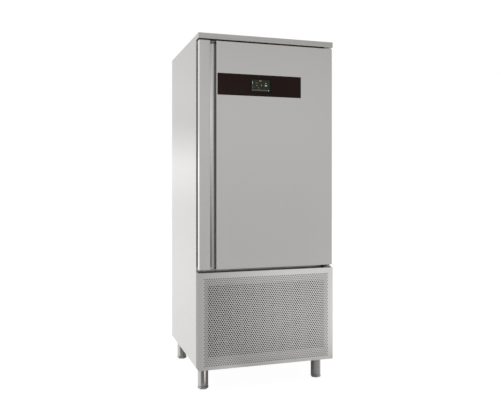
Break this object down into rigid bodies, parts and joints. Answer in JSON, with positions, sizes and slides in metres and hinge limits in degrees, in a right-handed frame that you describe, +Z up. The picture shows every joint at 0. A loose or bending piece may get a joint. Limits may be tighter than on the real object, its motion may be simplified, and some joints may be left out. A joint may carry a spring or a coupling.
{
  "type": "blast chiller",
  "caption": "Upright stainless blast chiller with a full-height handle groove, glass control strip, perforated lower panel and levelling feet.",
  "frame": {"origin": "on the floor, under the middle of the cabinet's outer box", "axes": "+Z up, +X to the right seen from the front, -Y towards the user"},
  "size_m": [0.79, 0.8, 1.958],
  "materials": {
    "brushed_steel": "brushed stainless steel, vertical grain",
    "satin_steel": "fine satin stainless steel",
    "galvanised_steel": "galvanised sheet steel",
    "aluminium": "thin fins, dull",
    "copper": "drawn copper tube, slightly dulled",
    "black_paint": "black enamel, semi-gloss",
    "dark_plastic": "dark grey PVC and moulded plastic, matt",
    "black_rubber": "soft black gasket",
    "grey_plastic": "grey moulded plastic, matt",
    "black_glass": "back-printed brown-black glass, gloss",
    "screen": "colour display, dark when idle",
    "foam": "rigid polyurethane foam"
  },
  "bodies": {
    "cabinet": {"side_panel_left": "brushed_steel", "side_panel_right": "brushed_steel", "top_cover": "brushed_steel", "front_frame": "brushed_steel", "lower_front_panel": "brushed_steel", "panel_backing_frame": "brushed_steel", "chamber_liner": "satin_steel", "leg_front_left": "satin_steel", "leg_front_right": "satin_steel", "leg_rear_left": "satin_steel", "leg_rear_right": "satin_steel", "hinge_bracket_lower": "satin_steel", "hinge_bracket_upper": "satin_steel", "tray_rack_left": "satin_steel", "tray_rack_right": "satin_steel", "evaporator_cover": "satin_steel", "drain_pan": "satin_steel", "fan_guard_lower": "satin_steel", "fan_guard_upper": "satin_steel", "rear_panel": "galvanised_steel", "compartment_deck": "galvanised_steel", "base_frame": "galvanised_steel", "rear_grille": "galvanised_steel", "electrical_box": "galvanised_steel", "evaporator_coil": "aluminium", "condenser_coil": "aluminium", "filter_drier": "copper", "discharge_pipe": "copper", "condenser_pipe": "copper", "liquid_pipe": "copper", "feed_pipe": "copper", "suction_pipe": "copper", "fan_motor_lower": "black_paint", "fan_motor_upper": "black_paint", "condenser_fan_motor": "black_paint", "condenser_shroud": "black_paint", "compressor": "black_paint", "liquid_receiver": "black_paint", "mains_inlet": "dark_plastic", "drain_pipe": "grey_plastic", "evaporation_tray": "grey_plastic", "insulation": "foam"},
    "door": {"door_skin": "brushed_steel", "door_frame_profile": "dark_plastic", "door_liner": "satin_steel", "door_insulation": "foam", "door_gasket": "black_rubber", "control_glass": "black_glass", "control_housing": "grey_plastic", "display_module": "screen", "door_bush_lower": "dark_plastic", "door_bush_upper": "dark_plastic"},
    "foot_front_left": {"foot_front_left": "satin_steel"},
    "foot_front_right": {"foot_front_right": "satin_steel"},
    "foot_rear_left": {"foot_rear_left": "satin_steel"},
    "foot_rear_right": {"foot_rear_right": "satin_steel"},
    "evaporator_fan_lower": {"evaporator_fan_lower": "dark_plastic"},
    "evaporator_fan_upper": {"evaporator_fan_upper": "dark_plastic"},
    "condenser_fan": {"condenser_fan": "dark_plastic"}
  },
  "joints": [
    {"name": "door_hinge", "type": "hinge", "parent": "cabinet", "child": "door", "pos_m": [0.372, -0.378, 0.678], "axis": [0, 0, 1], "range_deg": [0, 110]},
    {"name": "evaporator_fan_lower_spin", "type": "hinge", "parent": "cabinet", "child": "evaporator_fan_lower", "pos_m": [0, 0.168, 0.99823], "axis": [0, 1, 0], "continuous": true},
    {"name": "evaporator_fan_upper_spin", "type": "hinge", "parent": "cabinet", "child": "evaporator_fan_upper", "pos_m": [0, 0.168, 1.56208], "axis": [0, 1, 0], "continuous": true},
    {"name": "condenser_fan_spin", "type": "hinge", "parent": "cabinet", "child": "condenser_fan", "pos_m": [-0.03, -0.23, 0.3308], "axis": [0, 1, 0], "continuous": true},
    {"name": "foot_front_left_screw", "type": "slide", "parent": "cabinet", "child": "foot_front_left", "axis": [0, 0, -1], "range_m": [0, 0.04]},
    {"name": "foot_front_right_screw", "type": "slide", "parent": "cabinet", "child": "foot_front_right", "axis": [0, 0, -1], "range_m": [0, 0.04]},
    {"name": "foot_rear_left_screw", "type": "slide", "parent": "cabinet", "child": "foot_rear_left", "axis": [0, 0, -1], "range_m": [0, 0.04]},
    {"name": "foot_rear_right_screw", "type": "slide", "parent": "cabinet", "child": "foot_rear_right", "axis": [0, 0, -1], "range_m": [0, 0.04]}
  ]
}
